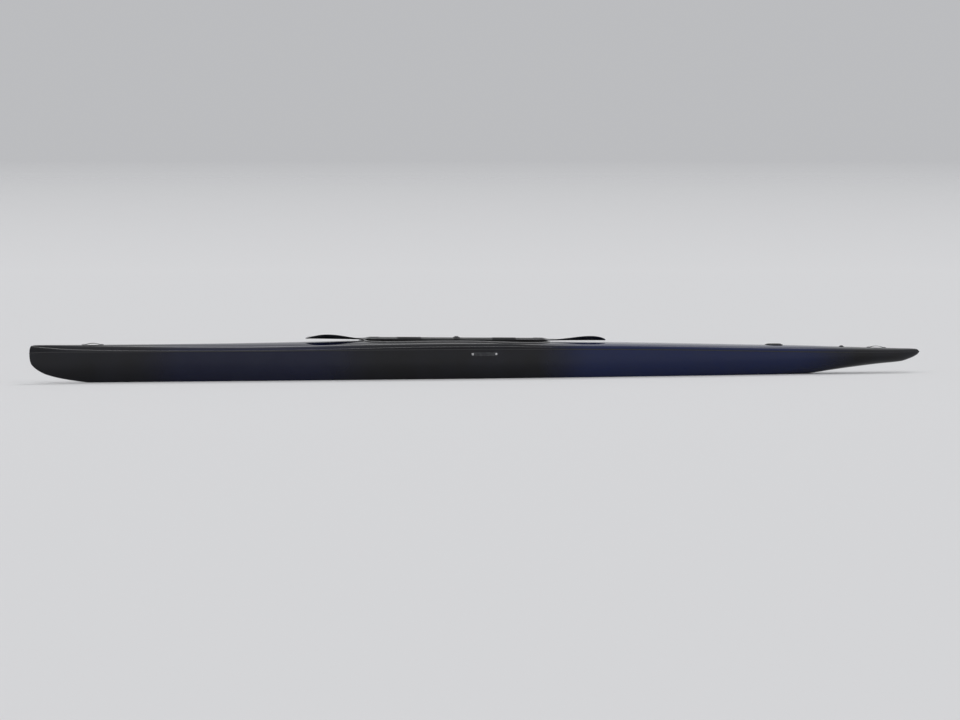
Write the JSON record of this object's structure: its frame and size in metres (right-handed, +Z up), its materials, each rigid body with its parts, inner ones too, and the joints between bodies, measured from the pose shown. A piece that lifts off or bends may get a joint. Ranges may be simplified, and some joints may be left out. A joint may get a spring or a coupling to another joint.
{
  "type": "surf ski",
  "caption": "Long narrow sit-on-top racing kayak with moulded cockpit, foot-steered fin, adjustable footboard and double-bladed paddle",
  "frame": {"origin": "on the waterline amidships, on the boat's centre plane", "axes": "+X to the bow, +Y to port, +Z up; the waterline is the plane z = 0"},
  "size_m": [6.4, 0.473, 0.5505],
  "materials": {
    "gelcoat": "polished navy gelcoat fading to black at the bow",
    "cockpit_gelcoat": "satin black gelcoat",
    "carbon": "clear-coated woven carbon laminate",
    "foam": "grooved closed-cell foam",
    "alloy": "anodised, lightly scratched",
    "steel": "brushed stainless",
    "webbing": "woven flat strap",
    "moulded_plastic": "fine grained moulding"
  },
  "bodies": {
    "boat": {"hull": "gelcoat", "deck": "gelcoat", "cockpit_tub": "cockpit_gelcoat", "cockpit_rim": "carbon", "seat_pad": "foam", "heel_pad": "foam", "rail_port": "alloy", "rail_starboard": "alloy", "bailer": "moulded_plastic", "bow_handle": "webbing", "stern_handle": "webbing", "side_handle_port": "webbing", "side_handle_starboard": "webbing", "rudder_hatch": "moulded_plastic", "drain_plug": "moulded_plastic", "rudder_bearing": "moulded_plastic"},
    "footboard": {"footboard": "alloy", "pedal_rod": "steel", "foot_strap": "webbing"},
    "pedal_port": {"pedal_port": "carbon"},
    "pedal_starboard": {"pedal_starboard": "carbon"},
    "rudder": {"rudder_blade": "carbon", "rudder_stock": "steel"},
    "paddle": {"paddle_shaft": "carbon", "paddle_clamp": "moulded_plastic", "paddle_blade_fore": "carbon", "paddle_blade_aft": "carbon"}
  },
  "joints": [
    {"name": "rudder_turn", "type": "hinge", "parent": "boat", "child": "rudder", "pos_m": [-2.12, 0, 0], "axis": [0, 0, 1], "range_deg": [-35, 35]},
    {"name": "footboard_slide", "type": "slide", "parent": "boat", "child": "footboard", "axis": [1, 0, 0], "range_m": [-0.14, 0.04]},
    {"name": "pedal_port_tilt", "type": "hinge", "parent": "footboard", "child": "pedal_port", "pos_m": [0.707, 0, 0.09404], "axis": [0, 1, 0], "range_deg": [-17.6, 17.6]},
    {"name": "pedal_starboard_tilt", "type": "hinge", "parent": "footboard", "child": "pedal_starboard", "pos_m": [0.707, 0, 0.09404], "axis": [0, 1, 0], "range_deg": [-17.6, 17.6]},
    {"name": "paddle_lift", "type": "slide", "parent": "boat", "child": "paddle", "axis": [0, 0, 1], "range_m": [0, 0.35]}
  ],
  "couplings": [
    {"joint": "pedal_port_tilt", "follows": "rudder_turn", "ratio": -0.5},
    {"joint": "pedal_starboard_tilt", "follows": "rudder_turn", "ratio": 0.5}
  ]
}
